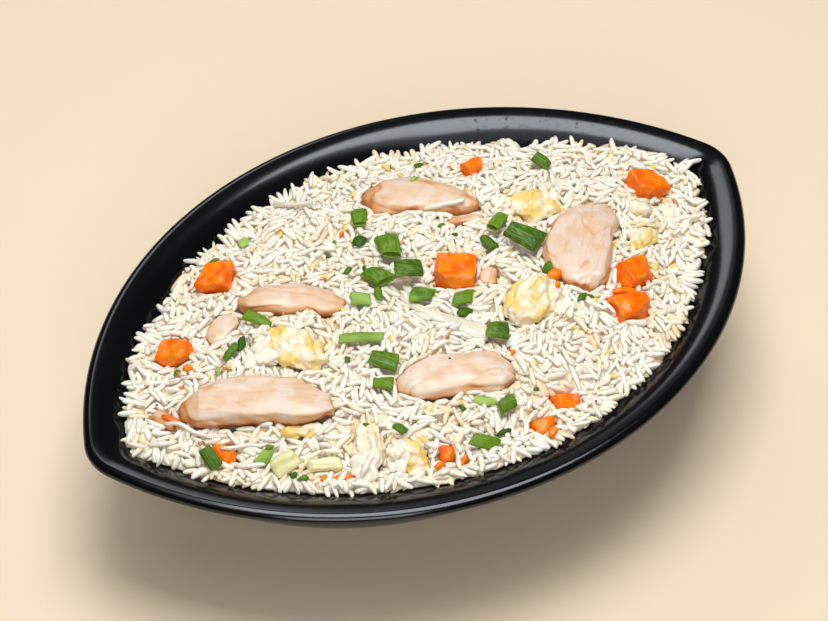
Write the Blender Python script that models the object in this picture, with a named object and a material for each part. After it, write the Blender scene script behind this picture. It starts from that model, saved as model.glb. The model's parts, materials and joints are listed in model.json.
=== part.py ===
"""Fried rice plate: a black leaf-shaped bowl heaped with fried rice, with chicken, egg, carrot,
spring onion, onion and cabbage lying in the rice. Metres, +Z up, the bowl's foot ring on Z = 0."""

import math

import bmesh
import bpy
from mathutils import Matrix, Vector, noise
from mathutils.bvhtree import BVHTree

MM = 0.001

# The bowl's leaf outline: two long side arcs joined by a small arc at each tip.
HALF_LENGTH = 150.0 * MM
HALF_WIDTH = 103.8 * MM
TIP_RADIUS = 21.0 * MM
INNER_TIP_RADIUS = 8.0 * MM
SIDE_STEPS = 18
TIP_STEPS = 4

# The bowl's section, in mm: how far inside the outline, and how high above the table.
INNER_WALL = ((2.3, 62.0), (8.0, 60.8), (14.0, 57.4), (20.0, 52.0), (25.0, 45.3),
              (30.5, 34.0), (35.0, 22.8), (41.0, 14.0), (49.0, 9.0), (58.0, 7.2))
OUTER_WALL = ((56.5, 3.0), (56.0, 0.0), (51.0, 0.0), (50.0, 4.2), (48.0, 5.0), (40.0, 9.3),
              (33.0, 17.3), (28.0, 27.0), (23.5, 38.5), (19.0, 46.7), (14.0, 52.3),
              (8.0, 55.5), (1.2, 57.7), (0.0, 59.7), (0.7, 61.4))

# The heap of rice.
RESTING_GAP = 0.35 * MM
EDGE_INSET = 17.6 * MM
EDGE_WANDER = 1.8 * MM
EDGE_LUMP = 9.0 * MM
EDGE_SPREAD = 2.5 * MM
EDGE_SLOPE = 1.5 * MM
EDGE_HEIGHT = 4.0 * MM
HEAP_EDGE_LEVEL = 52.5 * MM
HEAP_RISE = 14.0 * MM
HEAP_SHOULDER = 17.0 * MM
HEAP_DOME_INSET = 20.0 * MM
HEAP_ROUGHNESS = 1.0 * MM
HEAP_LUMP = 14.0 * MM
HEAP_RINGS = (28.0, 39.0, 53.0, 69.0, 86.0)

POCKET_GAP = 0.7 * MM
CUT_BEVEL = 0.9 * MM
LEAF_WALL = 0.9 * MM

LARGE_STRIP = 25.0
LARGE_ROUGHNESS = 1.3 * MM
SMALL_ROUGHNESS = 0.7 * MM
CHICKEN_LUMP = 9.0 * MM
EGG_ROUGHNESS = 0.7 * MM
EGG_LUMP = 5.0 * MM
EGG_FOLD = 0.22
DICED_LUMP = 6.0 * MM
DICED_ROUGHNESS = 0.16

# Each kind of strip: its width along X as constant, slope and curve, and how far it bends.
STRIP_TAPER = {"wedge": (0.76, -0.24, -0.22), "slab": (1.0, 0.0, 0.0), "chunk": (1.0, -0.12, 0.0)}
STRIP_BEND = {"wedge": 0.03, "slab": 0.06, "chunk": 0.10}

# Pieces in mm and degrees: name, x, y, turn about Z, length, width, height, how far it sinks.
CHICKEN = (
    ("chicken_strip_1", 27, 43, -46, 47, 27, 11, 5.0, "wedge"),
    ("chicken_strip_2", 67, -18, 42, 46, 27, 13, 5.0, "chunk"),
    ("chicken_strip_3", -49, 22, -38, 42, 14, 9, 3.5, "slab"),
    ("chicken_strip_4", -88, -16, -35, 57, 21, 12, 4.0, "slab"),
    ("chicken_strip_5", -18, -46, -25, 44, 20, 10, 4.0, "slab"),
    ("chicken_strip_6", -76, 28, 29, 17, 11, 6, 3.5, "slab"),
    ("chicken_end_1", -118, 3, -69, 13, 7, 6, 3.0, "chunk"),
    ("chicken_shred_1", 35, 23, -24, 16, 5, 5, 3.0, "slab"),
    ("chicken_shred_2", 24, -10, 44, 12, 8, 6, 3.0, "chunk"),
)
EGG = (
    ("egg_curd_1", 29, -30, 18, 29, 21, 12, 4.5),
    ("egg_curd_2", -61, 0, -72, 30, 19, 11, 4.0),
    ("egg_curd_3", 62, 13, -26, 23, 20, 10, 4.0),
    ("egg_curd_4", -51, -64, -74, 17, 14, 9, 4.5),
    ("egg_curd_5", 89, -24, 14, 17, 10, 7, 3.0),
    ("egg_curd_6", -79, -34, -24, 15, 6, 5, 2.5),
    ("egg_white_1", -62, -53, 56, 20, 13, 9, 4.5),
    ("egg_white_2", 99, -11, -19, 10, 8, 6, 3.0),
)
CARROT = (
    ("carrot_1", 13, -1, -35, 16, 16, 10, 4.5),
    ("carrot_2", 110, 0, -6, 14, 14, 9, 4.0),
    ("carrot_3", 74, -38, 0, 15, 10, 8, 3.5),
    ("carrot_4", 62, -51, -12, 16, 11, 8, 3.5),
    ("carrot_5", -63, 54, -51, 13, 15, 9, 3.5),
    ("carrot_6", -96, 30, -52, 12, 10, 7, 3.0),
    ("carrot_7", 0, -78, -11, 10, 6, 5, 2.5),
    ("carrot_8", 13, -74, -18, 11, 7, 5, 2.5),
    ("carrot_9", 58, 50, 4, 11, 6, 6, 3.0),
    ("carrot_10", -107, -23, -40, 9, 7, 6, 3.5),
    ("carrot_11", -39, -70, -35, 6, 6, 6, 3.0),
    ("carrot_12", -36, -75, 26, 8, 3, 4, 1.5),
    ("carrot_13", -76, -57, -23, 8, 4, 5, 2.5),
)
# Cut leaves: the same, but the last two are how slanted the cut is and the lift of the piece's tilt.
SPRING_ONION = (
    ("spring_onion_1", -1, 24, 66, 14, 10, 4, 0.35, 8),
    ("spring_onion_2", -14, 13, -77, 11, 9, 4, 0.30, -6),
    ("spring_onion_3", -4, 7, -22, 11, 10, 4, 0.25, 10),
    ("spring_onion_4", -5, -5, -41, 9, 8, 3, 0.40, -4),
    ("spring_onion_5", 42, 11, 33, 13, 6, 3.5, 0.20, 14),
    ("spring_onion_6", 45, -3, -64, 15, 11, 5, 0.15, 6),
    ("spring_onion_7", 0, 47, 60, 10, 7, 3, 0.20, 5),
    ("spring_onion_8", 7, -15, -16, 9, 7, 3, 0.35, 4),
    ("spring_onion_9", 7, -37, -25, 9, 9, 4, 0.15, 12),
    ("spring_onion_10", -37, -10, -31, 18, 5.5, 3, 0.40, 0),
    ("spring_onion_11", -37, -25, -45, 11, 9, 4, 0.20, 6),
    ("spring_onion_12", -43, -34, -44, 8, 6, 3, 0.10, -8),
    ("spring_onion_13", -26, -75, -48, 11, 6, 3, 0.40, 4),
    ("spring_onion_14", -65, 20, -61, 12, 5.5, 3, 0.20, 5),
    ("spring_onion_15", -26, 7, -39, 8, 7, 3.5, 0.05, 3),
    ("spring_onion_16", 33, 4, 85, 9, 5, 3, 0.10, 8),
    ("spring_onion_17", 80, 34, -60, 8, 6, 5, 0.05, 30),
    ("spring_onion_18", -113, -24, -95, 9, 6, 3.5, 0.20, 10),
    ("spring_onion_19", -96, -34, 24, 8, 5.5, 3, 0.20, 10),
    ("spring_onion_20", -9, -66, 3, 8, 6, 3, 0.30, 4),
    ("spring_onion_21", -81, 13, -160, 9, 4, 2.5, 0.30, 6),
)
CABBAGE = (
    ("cabbage_1", -91, -40, 3, 11, 7, 5, 2.0),
    ("cabbage_2", -79, -49, -29, 13, 5, 5, 2.0),
)
ONION_PETAL = ("onion_petal_1", -6, -16, -65, 45, 10, 3, 1.2)
ONION_STRIP = ("onion_strip_1", -16, 73, -62, 19, 3, 2, 0.6)

SIDE_CENTRE = ((HALF_LENGTH - TIP_RADIUS) ** 2 + HALF_WIDTH**2 - TIP_RADIUS**2) / (
    2 * (HALF_WIDTH - TIP_RADIUS)
) - HALF_WIDTH
SIDE_RADIUS = SIDE_CENTRE + HALF_WIDTH


def clear_scene():
    for old in list(bpy.data.objects):
        bpy.data.objects.remove(old, do_unlink=True)


def material(name, colour, roughness, metallic=0.0):
    made = bpy.data.materials.new(name)
    made.use_nodes = True
    shader = made.node_tree.nodes["Principled BSDF"]
    shader.inputs["Base Color"].default_value = (*colour, 1.0)
    shader.inputs["Roughness"].default_value = roughness
    shader.inputs["Metallic"].default_value = metallic
    return made


def add_object(name, bm, look, smooth_below=35.0):
    """Turns the bmesh into a named object whose faces point outwards."""
    bmesh.ops.remove_doubles(bm, verts=bm.verts, dist=0.001 * MM)
    bmesh.ops.recalc_face_normals(bm, faces=bm.faces)
    mesh = bpy.data.meshes.new(name)
    bm.to_mesh(mesh)
    bm.free()
    mesh.materials.append(look)
    mesh.shade_smooth()
    mesh.set_sharp_from_angle(angle=math.radians(smooth_below))
    made = bpy.data.objects.new(name, mesh)
    bpy.context.scene.collection.objects.link(made)
    return made


def arc(centre, radius, start, end, steps):
    """Points of an arc about a centre, without its last point."""
    found = []
    for step in range(steps):
        angle = start + (end - start) * step / steps
        found.append(centre + radius * Vector((math.cos(angle), math.sin(angle))))
    return found


def leaf_loop(inset):
    """The leaf outline this far inside the rim's outer edge, anticlockwise."""
    side = SIDE_RADIUS - inset
    shrink = TIP_RADIUS - INNER_TIP_RADIUS
    tip = INNER_TIP_RADIUS + shrink * math.exp(-inset / shrink)
    reach = math.sqrt((side - tip) ** 2 - SIDE_CENTRE**2)
    turn = math.atan2(SIDE_CENTRE, reach)
    half = math.pi
    return (
        arc(Vector((reach, 0)), tip, -turn, turn, TIP_STEPS)
        + arc(Vector((0, -SIDE_CENTRE)), side, turn, half - turn, SIDE_STEPS)
        + arc(Vector((-reach, 0)), tip, half - turn, half + turn, TIP_STEPS)
        + arc(Vector((0, SIDE_CENTRE)), side, half + turn, 2 * half - turn, SIDE_STEPS)
    )


def inset_of(x, y):
    """How far a point lies inside the nearer side arc."""
    return SIDE_RADIUS - math.hypot(x, abs(y) + SIDE_CENTRE)


def wall_height(inset):
    """The inner wall's height at an inset."""
    steps = [(a * MM, b * MM) for a, b in INNER_WALL]
    for (a, low), (b, high) in zip(steps, steps[1:]):
        if inset <= b:
            return low + (high - low) * (inset - a) / (b - a)
    return steps[-1][1]


def bridge_rings(bm, rings):
    """Joins neighbouring rings of vertices with quads."""
    for first, second in zip(rings, rings[1:]):
        count = len(first)
        for i in range(count):
            j = (i + 1) % count
            bm.faces.new((first[i], first[j], second[j], second[i]))


def build_bowl(look):
    """The inner wall from the floor up, over the lip and down to the foot, as one closed skin."""
    bm = bmesh.new()
    section = tuple(reversed(INNER_WALL)) + tuple(reversed(OUTER_WALL))
    rings = []
    for inset, height in section:
        loop = leaf_loop(inset * MM)
        rings.append([bm.verts.new((p.x, p.y, height * MM)) for p in loop])
    bridge_rings(bm, rings)
    bm.faces.new(rings[0])
    bm.faces.new(rings[-1])
    return add_object("bowl", bm, look, 30.0)


def heap_height(x, y):
    """The top of the rice: a low dome that falls away towards the wall, a little uneven."""
    inside = max(inset_of(x, y) - HEAP_DOME_INSET, 0.0)
    dome = HEAP_EDGE_LEVEL + HEAP_RISE * (1.0 - math.exp(-inside / HEAP_SHOULDER))
    lumps = noise.noise(Vector((x, y, 0.0)) / HEAP_LUMP) * HEAP_ROUGHNESS
    return dome + lumps


def edge_inset(point):
    """The rice's edge wanders in and out, and comes nearest the rim at the tips and the near side."""
    wander = noise.noise(Vector((point.x, point.y, 5.0 * MM)) / EDGE_LUMP) * EDGE_WANDER
    tips = EDGE_SPREAD * max(0.0, abs(point.x) / HALF_LENGTH - 0.7) / 0.3
    nearer = EDGE_SPREAD * max(0.0, -point.y / HALF_WIDTH - 0.5) / 0.5
    return EDGE_INSET + wander - tips - nearer


def build_heap(look):
    bm = bmesh.new()
    outer = leaf_loop(0.0)
    edge = [edge_inset(p) for p in outer]
    inner_loops = {}

    def ring(inset_at, height_at):
        made = []
        for i in range(len(outer)):
            inset = inset_at(i)
            if inset not in inner_loops:
                inner_loops[inset] = leaf_loop(inset)
            point = inner_loops[inset][i]
            made.append(bm.verts.new((point.x, point.y, height_at(point, inset))))
        return made

    rings = []

    def on_wall(point, inset):
        return wall_height(inset) + RESTING_GAP

    def above_wall(point, inset):
        return wall_height(inset) + EDGE_HEIGHT

    for inset, _ in reversed(INNER_WALL[3:]):
        rings.append(ring(lambda i, s=inset: s * MM + RESTING_GAP, on_wall))
    rings.append(ring(lambda i: edge[i] + RESTING_GAP, on_wall))
    rings.append(ring(lambda i: edge[i] + EDGE_SLOPE, above_wall))
    for inset in HEAP_RINGS:
        rings.append(ring(lambda i, s=inset: s * MM, lambda p, s: heap_height(p.x, p.y)))
    bridge_rings(bm, rings)
    bm.faces.new(rings[0])
    top = bm.faces.new(rings[-1])
    bmesh.ops.poke(bm, faces=[top])
    return add_object("rice_heap", bm, look, 60.0)


def resting_matrix(x, y, turn, tilt=0.0):
    """A frame on the heap's dome, its X along the piece and its Z away from the rice."""
    step = 6.0 * MM
    slope_x = (heap_height(x + step, y) - heap_height(x - step, y)) / (2 * step)
    slope_y = (heap_height(x, y + step) - heap_height(x, y - step)) / (2 * step)
    normal = Vector((-slope_x, -slope_y, 1.0)).normalized()
    along = Vector((math.cos(turn), math.sin(turn), 0.0))
    along = (along - normal * along.dot(normal)).normalized()
    across = normal.cross(along)
    frame = Matrix((along, across, normal)).transposed().to_4x4()
    place = Matrix.Translation((x, y, heap_height(x, y)))
    return place @ frame @ Matrix.Rotation(tilt, 4, "Y")


def lay(bm, x, y, turn, lift, tilt=0.0):
    frame = resting_matrix(x * MM, y * MM, math.radians(turn), math.radians(tilt))
    bmesh.ops.transform(bm, matrix=frame @ Matrix.Translation((0, 0, lift * MM)), verts=bm.verts)


def loft(stations, around, section):
    """A closed body along X: section gives each station's half width, low, high and side shift."""
    bm = bmesh.new()
    rings = []
    for step in range(stations):
        along = -1.0 + 2.0 * step / (stations - 1)
        x, half_width, low, high, shift, power = section(along)
        loop = []
        for i in range(around):
            angle = 2 * math.pi * i / around
            side = math.copysign(abs(math.cos(angle)) ** power, math.cos(angle))
            up = math.copysign(abs(math.sin(angle)) ** power, math.sin(angle))
            middle = (low + high) / 2
            loop.append(bm.verts.new((x, shift + half_width * side, middle + (high - low) / 2 * up)))
        rings.append(loop)
    bridge_rings(bm, rings)
    bm.faces.new(rings[0])
    bm.faces.new(rings[-1])
    return bm


def wander(point):
    """Smooth noise in all three directions at a point."""
    return Vector([noise.noise(point + Vector((31.7 * i, 17.3 * i, 0.0))) for i in range(3)])


def roughen(bm, amount, size, seed):
    """Pushes each vertex about by smooth noise, so that no two pieces are alike."""
    for vert in bm.verts:
        vert.co += wander(vert.co / size + Vector((seed * 7.3, seed * 3.1, seed * 5.7))) * amount


def chicken_section(kind, length, width, height):
    """A strip of sliced breast: full along the middle, with a cut end or a thin, torn end."""

    def section(along):
        full = max(1.0 - abs(along) ** 4.0, 0.0) ** 0.5
        full = max(full, 0.32)
        steady, slope, curve = STRIP_TAPER[kind]
        taper = steady + slope * along + curve * along**2
        bend = STRIP_BEND[kind] * length * (1 - along**2)
        x = along * length / 2
        high = height * (0.45 + 0.55 * full) - height * 0.5
        low = -height * 0.5 * (0.55 + 0.45 * full)
        return x, width / 2 * full * taper, low, high, bend, 0.8

    return section


def build_chicken(look):
    for seed, (name, x, y, turn, length, width, height, sink, kind) in enumerate(CHICKEN):
        section = chicken_section(kind, length * MM, width * MM, height * MM)
        large = length > LARGE_STRIP
        bm = loft(9 if large else 6, 10 if large else 7, section)
        roughen(bm, LARGE_ROUGHNESS if large else SMALL_ROUGHNESS, CHICKEN_LUMP, seed + 1)
        lay(bm, x, y, turn, height / 2 - sink)
        yield add_object(name, bm, look)


def build_egg(look_yellow, look_white):
    """Soft scrambled curds: rounded lumps folded over on themselves."""
    for seed, (name, x, y, turn, length, width, height, sink) in enumerate(EGG):
        bm = bmesh.new()
        bmesh.ops.create_icosphere(bm, subdivisions=2, radius=1.0)
        for vert in bm.verts:
            fold = 1.0 + EGG_FOLD * noise.noise(vert.co * 1.9 + Vector((seed * 4.0, 0.0, 0.0)))
            vert.co = Vector((vert.co.x * length, vert.co.y * width, vert.co.z * height)) * (fold * MM / 2)
        roughen(bm, EGG_ROUGHNESS, EGG_LUMP, seed + 20)
        lay(bm, x, y, turn, height / 2 - sink)
        yield add_object(name, bm, look_white if "white" in name else look_yellow, 50.0)


def build_cut_cube(name, row, look, seed):
    """A diced piece: a box with uneven corners and softened edges."""
    x, y, turn, length, width, height, sink = row
    bm = bmesh.new()
    bmesh.ops.create_cube(bm, size=1.0)
    bmesh.ops.scale(bm, vec=(length * MM, width * MM, height * MM), verts=bm.verts)
    for vert in bm.verts:
        spread = wander(vert.co / DICED_LUMP + Vector((seed * 3.7, seed * 1.9, 0.0)))
        vert.co += Vector((spread.x * length, spread.y * width, spread.z * height)) * (DICED_ROUGHNESS * MM)
    lay(bm, x, y, turn, height / 2 - sink)
    pocket = bpy.data.meshes.new(name + "_pocket")
    bmesh.ops.recalc_face_normals(bm, faces=bm.faces)
    bm.to_mesh(pocket)
    bmesh.ops.bevel(bm, geom=bm.edges, offset=CUT_BEVEL, segments=1, affect="EDGES", profile=0.5)
    return add_object(name, bm, look, 40.0), pocket


def build_leaf_cut(name, length, width, height, slant):
    """A slice of hollow leaf pressed half flat, open at both slanted ends."""
    bm = bmesh.new()
    rings = []
    for end, wall in ((-1, 0.0), (1, 0.0), (1, LEAF_WALL), (-1, LEAF_WALL)):
        loop = []
        for i in range(8):
            angle = 2 * math.pi * i / 8
            side = math.cos(angle) * (width * MM / 2 - wall)
            up = math.sin(angle) * (height * MM / 2 - wall)
            loop.append(bm.verts.new((end * length * MM / 2 + slant * side, side, up)))
        rings.append(loop)
    bridge_rings(bm, rings + [rings[0]])
    return bm


def build_onion_petal(look):
    """One curved layer of onion: pointed at one end and broad at the other."""
    name, x, y, turn, length, width, height, sink = ONION_PETAL

    def section(along):
        broad = 0.22 + 0.78 * math.sin(min((along + 1.0) * 0.62, 1.35)) ** 1.6
        if along > 0.8:
            broad *= 0.8
        droop = -1.2 * MM * along**2
        bend = 0.07 * length * MM * along**2
        half = height * MM / 2
        return along * length * MM / 2, width * MM / 2 * broad, droop - half, droop + half, bend, 0.7

    bm = loft(10, 6, section)
    lay(bm, x, y, turn, height / 2 - sink)
    return add_object(name, bm, look)


def build_onion_strip(length, width, height):
    """A thin strip of onion, narrower at both ends and slightly bent."""

    def section(along):
        half = width / 2 * (1 - 0.5 * along**2)
        return along * length / 2, half, -height / 2, height / 2, 0.08 * length * along**2, 0.8

    return loft(7, 5, section)


def tree_of(made):
    return BVHTree.FromPolygons(
        [v.co.copy() for v in made.data.vertices], [tuple(p.vertices) for p in made.data.polygons]
    )


def rest_on(piece, below):
    """Lowers a piece straight down until it rests on what lies under it, with a small gap."""
    start = 30.0 * MM
    trees = [tree_of(other) for other in below]
    clear = start
    for vert in piece.data.vertices:
        for tree in trees:
            hit = tree.ray_cast(vert.co + Vector((0, 0, start)), Vector((0, 0, -1)))
            if hit[0] is not None:
                clear = min(clear, hit[3])
    own = tree_of(piece)
    for other in below:
        for vert in other.data.vertices:
            hit = own.ray_cast(vert.co - Vector((0, 0, start)), Vector((0, 0, 1)))
            if hit[0] is not None:
                clear = min(clear, hit[3])
    drop = start - clear + RESTING_GAP
    for vert in piece.data.vertices:
        vert.co.z += drop
    while any(tree_of(piece).overlap(tree) for tree in trees):
        for vert in piece.data.vertices:
            vert.co.z += RESTING_GAP
    piece.data.update()


def near(piece, others):
    """Those of the others whose boxes reach this piece's box seen from above."""
    def box(made):
        xs = [v.co.x for v in made.data.vertices]
        ys = [v.co.y for v in made.data.vertices]
        return min(xs), max(xs), min(ys), max(ys)

    a = box(piece)
    found = []
    for other in others:
        b = box(other)
        if a[0] < b[1] and b[0] < a[1] and a[2] < b[3] and b[2] < a[3]:
            found.append(other)
    return found


def cut_pockets(heap, pockets):
    """Cuts a fitting hollow in the rice for each piece that sinks into it."""
    cutters = bpy.data.collections.new("cutters")
    bpy.context.scene.collection.children.link(cutters)
    for pocket in pockets:
        cutter = bpy.data.objects.new(pocket.name + "_cutter", pocket)
        cutters.objects.link(cutter)
        cutter.hide_render = True
        cutter.display_type = "WIRE"
        grow = cutter.modifiers.new("grow", "DISPLACE")
        grow.mid_level = 0.0
        grow.strength = POCKET_GAP
    cut = heap.modifiers.new("pockets", "BOOLEAN")
    cut.operation = "DIFFERENCE"
    cut.solver = "EXACT"
    cut.operand_type = "COLLECTION"
    cut.collection = cutters
    bpy.context.view_layer.update()
    graph = bpy.context.evaluated_depsgraph_get()
    cut_mesh = bpy.data.meshes.new_from_object(heap.evaluated_get(graph), depsgraph=graph)
    heap.modifiers.clear()
    heap.data = cut_mesh
    for cutter in list(cutters.objects):
        bpy.data.objects.remove(cutter, do_unlink=True)


def main():
    clear_scene()
    black = material("black_melamine", (0.012, 0.012, 0.013), 0.32)
    rice = material("rice", (0.80, 0.74, 0.64), 0.55)
    chicken = material("chicken", (0.80, 0.56, 0.36), 0.5)
    yolk = material("egg", (0.86, 0.68, 0.28), 0.45)
    white = material("egg_white", (0.86, 0.82, 0.74), 0.45)
    orange = material("carrot", (0.85, 0.23, 0.02), 0.35)
    green = material("spring_onion", (0.11, 0.25, 0.02), 0.35)
    pale = material("onion", (0.80, 0.76, 0.58), 0.35)

    build_bowl(black)
    heap = build_heap(rice)
    sunk = list(build_chicken(chicken))
    sunk += list(build_egg(yolk, white))
    sunk.append(build_onion_petal(pale))
    pockets = [piece.data.copy() for piece in sunk]
    for seed, (name, *row) in enumerate(CARROT + CABBAGE):
        piece, pocket = build_cut_cube(name, row, orange if "carrot" in name else pale, seed)
        sunk.append(piece)
        pockets.append(pocket)
    cut_pockets(heap, pockets)

    placed = list(sunk)
    for name, x, y, turn, length, width, height, slant, tilt in SPRING_ONION:
        bm = build_leaf_cut(name, length, width, height, slant)
        lay(bm, x, y, turn, height / 2, tilt)
        piece = add_object(name, bm, green, 50.0)
        rest_on(piece, [heap] + near(piece, placed))
        placed.append(piece)
    name, x, y, turn, length, width, height, sink = ONION_STRIP
    bm = build_onion_strip(length * MM, width * MM, height * MM)
    lay(bm, x, y, turn, height / 2)
    strip = add_object(name, bm, pale)
    rest_on(strip, [heap] + near(strip, placed))


main()
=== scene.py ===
"""Fried rice plate: a black leaf-shaped bowl of fried rice with chicken, egg, carrot and spring onion.

Laid out as an add-on and run as a script. Lengths in the tables are millimetres.
"""

import json
import math

import bmesh
import bpy
import numpy as np
from bpy.props import FloatProperty, FloatVectorProperty, IntProperty, PointerProperty
from mathutils import Euler, Matrix, Vector, noise
from mathutils.bvhtree import BVHTree

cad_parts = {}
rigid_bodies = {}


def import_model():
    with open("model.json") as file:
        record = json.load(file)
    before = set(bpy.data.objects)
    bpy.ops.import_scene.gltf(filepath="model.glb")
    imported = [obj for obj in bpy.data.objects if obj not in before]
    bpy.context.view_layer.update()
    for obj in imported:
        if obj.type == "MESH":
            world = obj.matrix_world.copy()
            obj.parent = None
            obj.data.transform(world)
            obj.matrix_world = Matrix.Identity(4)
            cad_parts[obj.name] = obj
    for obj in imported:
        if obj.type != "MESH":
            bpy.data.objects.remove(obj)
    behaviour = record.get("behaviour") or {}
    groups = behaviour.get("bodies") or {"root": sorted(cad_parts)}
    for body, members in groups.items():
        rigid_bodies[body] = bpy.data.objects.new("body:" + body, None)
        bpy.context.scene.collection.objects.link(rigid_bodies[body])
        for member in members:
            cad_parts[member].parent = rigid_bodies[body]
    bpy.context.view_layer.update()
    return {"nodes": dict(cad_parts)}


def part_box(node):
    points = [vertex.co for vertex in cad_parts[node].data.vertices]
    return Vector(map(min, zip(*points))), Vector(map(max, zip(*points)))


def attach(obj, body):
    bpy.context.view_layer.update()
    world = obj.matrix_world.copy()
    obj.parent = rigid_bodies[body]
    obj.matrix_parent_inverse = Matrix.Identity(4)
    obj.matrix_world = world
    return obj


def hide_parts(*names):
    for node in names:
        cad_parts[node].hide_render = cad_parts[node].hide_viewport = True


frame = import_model()

bl_info = {
    "name": "Fried rice plate",
    "version": (1, 0, 0),
    "blender": (4, 5, 0),
    "location": "3D View > Sidebar > Fried rice",
    "description": "Builds a leaf-shaped bowl of fried rice, grain by grain",
    "category": "Object",
}

MM = 0.001
NODES = frame["nodes"]
BOWL_LOW, BOWL_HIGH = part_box("bowl")

HALF_LENGTH = (BOWL_HIGH[0] - BOWL_LOW[0]) / 2 / MM
HALF_WIDTH = (BOWL_HIGH[1] - BOWL_LOW[1]) / 2 / MM
TIP_RADIUS = 21.0
INNER_TIP_RADIUS = 8.0
SIDE_CENTRE = ((HALF_LENGTH - TIP_RADIUS) ** 2 + HALF_WIDTH**2 - TIP_RADIUS**2) / (
    2 * (HALF_WIDTH - TIP_RADIUS)
) - HALF_WIDTH
SIDE_RADIUS = SIDE_CENTRE + HALF_WIDTH

# The bowl's section: how far inside the outline, and how high above the table.
INNER_WALL = ((58.0, 7.2), (49.0, 9.0), (41.0, 14.0), (35.0, 22.8), (30.5, 34.0), (25.0, 45.3),
              (20.0, 52.0), (14.0, 57.4), (8.0, 60.8), (2.6, 61.98))
LIP = ((2.6, 61.98), (1.2, 61.6), (0.3, 60.7), (0.02, 59.7), (0.3, 58.6), (1.4, 57.7))
OUTER_WALL = ((1.4, 57.7), (8.0, 55.6), (14.0, 52.4), (19.0, 46.8), (23.5, 38.6), (28.0, 27.1),
              (33.0, 17.4), (40.0, 9.5), (47.5, 5.2), (50.0, 4.2))
FOOT = ((50.0, 4.2), (50.6, 3.0), (51.0, 0.6), (51.6, 0.09), (55.4, 0.09), (56.0, 0.6), (56.4, 2.9),
        (58.0, 3.1))


# ---------------------------------------------------------------- shader maths


class Socket:
    """A value in a node tree, so that shader maths reads as Python."""

    def __init__(self, look, socket):
        self.look = look
        self.socket = socket

    def maths(self, operation, *values):
        return self.look.node("ShaderNodeMath", {"operation": operation}, dict(enumerate(values)))

    def __add__(self, other):
        return self.maths("ADD", self, other)

    def __sub__(self, other):
        return self.maths("SUBTRACT", self, other)

    def __rsub__(self, other):
        return self.maths("SUBTRACT", other, self)

    def __mul__(self, other):
        return self.maths("MULTIPLY", self, other)

    __radd__ = __add__
    __rmul__ = __mul__

    def between(self, low, high):
        """0 below low, 1 above high, and smooth in between."""
        settings = {"interpolation_type": "SMOOTHSTEP"}
        inputs = {"Value": self, "From Min": low, "From Max": high}
        return self.look.node("ShaderNodeMapRange", settings, inputs)


class Look:
    """A material with a Principled shader, and the few ways its nodes are added."""

    def __init__(self, name):
        self.material = bpy.data.materials.new(name)
        self.material.use_nodes = True
        self.tree = self.material.node_tree
        self.shader = self.tree.nodes["Principled BSDF"]

    def connect(self, value, target):
        if isinstance(value, Socket):
            self.tree.links.new(value.socket, target)
        else:
            target.default_value = value

    def node(self, kind, settings=None, inputs=None, output=0):
        made = self.tree.nodes.new(kind)
        for key, value in (settings or {}).items():
            setattr(made, key, value)
        for key, value in (inputs or {}).items():
            self.connect(value, made.inputs[key])
        return Socket(self, made.outputs[output])

    def place(self):
        return self.node("ShaderNodeTexCoord", output="Object")

    def attribute(self, name):
        return self.node("ShaderNodeAttribute", {"attribute_name": name}, output="Fac")

    def clouds(self, size, detail=2.0, vector=None):
        """Soft noise whose patches are about this size, in metres."""
        inputs = {"Vector": vector or self.place(), "Scale": 1.0 / size, "Detail": detail}
        return self.node("ShaderNodeTexNoise", {}, inputs)

    def mix(self, part, first, second):
        inputs = {0: part, 6: first, 7: second}
        return self.node("ShaderNodeMix", {"data_type": "RGBA"}, inputs, output=2)

    def bump(self, height, depth, strength=1.0, after=None):
        inputs = {"Height": height, "Distance": depth, "Strength": strength}
        if after is not None:
            inputs["Normal"] = after
        return self.node("ShaderNodeBump", {}, inputs)

    def finish(self, **inputs):
        for key, value in inputs.items():
            self.connect(value, self.shader.inputs[key.replace("_", " ")])
        return self.material


def rgba(colour):
    """An sRGB colour given as 0 to 255, as linear red, green, blue and alpha."""
    linear = [c / 255 / 12.92 if c <= 10 else ((c / 255 + 0.055) / 1.055) ** 2.4 for c in colour]
    return (*linear, 1.0)


# ---------------------------------------------------------------- mesh helpers


def link(name, mesh, material, node=None):
    """A finished piece: it rides on the plate, and may stand for a CAD node."""
    made = bpy.data.objects.new(name, mesh)
    bpy.context.scene.collection.objects.link(made)
    mesh.materials.clear()
    mesh.materials.append(material)
    mesh.shade_smooth()
    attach(made, "root")
    if node:
        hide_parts(node)
    return made


def mesh_from(bm, name):
    mesh = bpy.data.meshes.new(name)
    bm.to_mesh(mesh)
    bm.free()
    return mesh


def merged_copy(node):
    """A CAD node's mesh, in place, with its loose triangles joined."""
    bm = bmesh.new()
    bm.from_mesh(NODES[node].data)
    bm.transform(NODES[node].matrix_world)
    bmesh.ops.remove_doubles(bm, verts=bm.verts, dist=0.01 * MM)
    bmesh.ops.dissolve_degenerate(bm, edges=bm.edges, dist=0.005 * MM)
    return bm


def evaluated_mesh(mesh, modifiers):
    """The mesh after these modifiers, as (type, settings) pairs."""
    holder = bpy.data.objects.new("holder", mesh)
    bpy.context.scene.collection.objects.link(holder)
    for kind, settings in modifiers:
        modifier = holder.modifiers.new(kind, kind)
        for key, value in settings.items():
            setattr(modifier, key, value)
    graph = bpy.context.evaluated_depsgraph_get()
    made = bpy.data.meshes.new_from_object(holder.evaluated_get(graph), depsgraph=graph)
    bpy.data.objects.remove(holder, do_unlink=True)
    return made


def points_of(mesh):
    found = np.empty(len(mesh.vertices) * 3)
    mesh.vertices.foreach_get("co", found)
    return found.reshape(-1, 3)


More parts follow.
